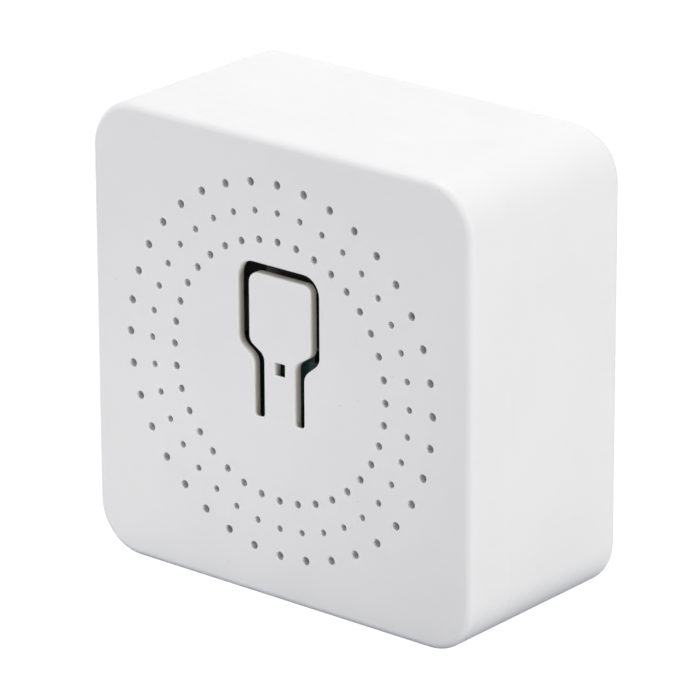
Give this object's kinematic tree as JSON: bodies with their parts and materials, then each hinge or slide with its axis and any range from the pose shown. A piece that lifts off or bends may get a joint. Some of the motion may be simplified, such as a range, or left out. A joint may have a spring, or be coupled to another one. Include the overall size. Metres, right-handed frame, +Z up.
{
  "type": "smart relay module",
  "caption": "Square white plastic relay module with ringed vent holes, a paddle push button cut into its face, and screw terminals inside that clamp wires from below.",
  "frame": {"origin": "middle of the underside that it stands on", "axes": "+X to the right and +Y from the front face to the back, +Z up"},
  "size_m": [0.0392, 0.019, 0.0392],
  "materials": {
    "case_white": "fine satin moulded white",
    "board_green": "dark green solder mask",
    "light_lens": "clear unlit lens that takes the tone of the board",
    "switch_black": "black moulded nylon",
    "bright_tin": "tinned sheet",
    "gold_dome": "plated spring metal",
    "terminal_grey": "light grey nylon",
    "contact_brass": "plain brass",
    "zinc_steel": "zinc plated steel",
    "relay_black": "smooth black cover",
    "former_ivory": "ivory insulating plastic",
    "copper_wire": "enamelled copper wire",
    "soft_iron": "annealed iron",
    "contact_silver": "silver alloy",
    "capacitor_sleeve": "dark blue shrink sleeve",
    "ferrite": "sintered ferrite",
    "varistor_blue": "dipped epoxy",
    "resistor_tan": "ceramic coating",
    "chip_black": "moulded epoxy"
  },
  "bodies": {
    "case": {"front_cover": "case_white", "rear_case": "case_white", "main_board": "board_green", "status_led": "light_lens", "tact_base": "switch_black", "tact_frame": "switch_black", "tact_dome": "gold_dome", "radio_board": "board_green", "radio_shield": "bright_tin", "terminal_block": "terminal_grey", "terminal_contacts": "contact_brass", "relay_base": "switch_black", "relay_cover": "relay_black", "relay_bobbin": "former_ivory", "relay_coil": "copper_wire", "relay_core": "soft_iron", "relay_yoke": "soft_iron", "relay_fixed_contact": "contact_silver", "relay_pins": "bright_tin", "bulk_capacitors": "capacitor_sleeve", "output_capacitor": "capacitor_sleeve", "choke_core": "ferrite", "choke_winding": "copper_wire", "varistor": "varistor_blue", "fuse_resistor": "resistor_tan", "bridge_rectifier": "chip_black", "converter_chip": "chip_black", "chip_components": "resistor_tan"},
    "button": {"button": "case_white"},
    "plunger": {"tact_plunger": "switch_black"},
    "armature": {"relay_armature": "soft_iron", "relay_contact_arm": "former_ivory", "relay_moving_contact": "contact_silver"},
    "screw_1": {"terminal_screw_1": "zinc_steel"},
    "cage_1": {"clamp_cage_1": "zinc_steel"},
    "screw_2": {"terminal_screw_2": "zinc_steel"},
    "cage_2": {"clamp_cage_2": "zinc_steel"},
    "screw_3": {"terminal_screw_3": "zinc_steel"},
    "cage_3": {"clamp_cage_3": "zinc_steel"},
    "screw_4": {"terminal_screw_4": "zinc_steel"},
    "cage_4": {"clamp_cage_4": "zinc_steel"},
    "screw_5": {"terminal_screw_5": "zinc_steel"},
    "cage_5": {"clamp_cage_5": "zinc_steel"}
  },
  "joints": [
    {"name": "button_press", "type": "hinge", "parent": "case", "child": "button", "pos_m": [0.0001, -0.0087, 0.01555], "axis": [-1, 0, 0], "range_deg": [0, 1.5], "stiffness_Nm_per_rad": 0.5},
    {"name": "plunger_press", "type": "slide", "parent": "case", "child": "plunger", "axis": [0, 1, 0], "range_m": [0, 0.00025]},
    {"name": "armature_swing", "type": "hinge", "parent": "case", "child": "armature", "pos_m": [-0.0132, 0.0055, 0.01565], "axis": [0, 0, 1], "range_deg": [0, 4], "stiffness_Nm_per_rad": 0.02, "springref_deg": -5.73},
    {"name": "cage_1_rise", "type": "slide", "parent": "case", "child": "cage_1", "axis": [0, 1, 0], "range_m": [0, 0.002]},
    {"name": "screw_1_turn", "type": "hinge", "parent": "case", "child": "screw_1", "pos_m": [-0.01016, 0.0064, 0.0051], "axis": [0, -1, 0], "range_deg": [0, 1440]},
    {"name": "cage_2_rise", "type": "slide", "parent": "case", "child": "cage_2", "axis": [0, 1, 0], "range_m": [0, 0.002]},
    {"name": "screw_2_turn", "type": "hinge", "parent": "case", "child": "screw_2", "pos_m": [-0.00508, 0.0064, 0.0051], "axis": [0, -1, 0], "range_deg": [0, 1440]},
    {"name": "cage_3_rise", "type": "slide", "parent": "case", "child": "cage_3", "axis": [0, 1, 0], "range_m": [0, 0.002]},
    {"name": "screw_3_turn", "type": "hinge", "parent": "case", "child": "screw_3", "pos_m": [0, 0.0064, 0.0051], "axis": [0, -1, 0], "range_deg": [0, 1440]},
    {"name": "cage_4_rise", "type": "slide", "parent": "case", "child": "cage_4", "axis": [0, 1, 0], "range_m": [0, 0.002]},
    {"name": "screw_4_turn", "type": "hinge", "parent": "case", "child": "screw_4", "pos_m": [0.00508, 0.0064, 0.0051], "axis": [0, -1, 0], "range_deg": [0, 1440]},
    {"name": "cage_5_rise", "type": "slide", "parent": "case", "child": "cage_5", "axis": [0, 1, 0], "range_m": [0, 0.002]},
    {"name": "screw_5_turn", "type": "hinge", "parent": "case", "child": "screw_5", "pos_m": [0.01016, 0.0064, 0.0051], "axis": [0, -1, 0], "range_deg": [0, 1440]}
  ],
  "couplings": [
    {"joint": "plunger_press", "follows": "button_press", "m_per_rad": 0.00925},
    {"joint": "screw_1_turn", "follows": "cage_1_rise", "rad_per_m": 12566},
    {"joint": "screw_2_turn", "follows": "cage_2_rise", "rad_per_m": 12566},
    {"joint": "screw_3_turn", "follows": "cage_3_rise", "rad_per_m": 12566},
    {"joint": "screw_4_turn", "follows": "cage_4_rise", "rad_per_m": 12566},
    {"joint": "screw_5_turn", "follows": "cage_5_rise", "rad_per_m": 12566}
  ]
}
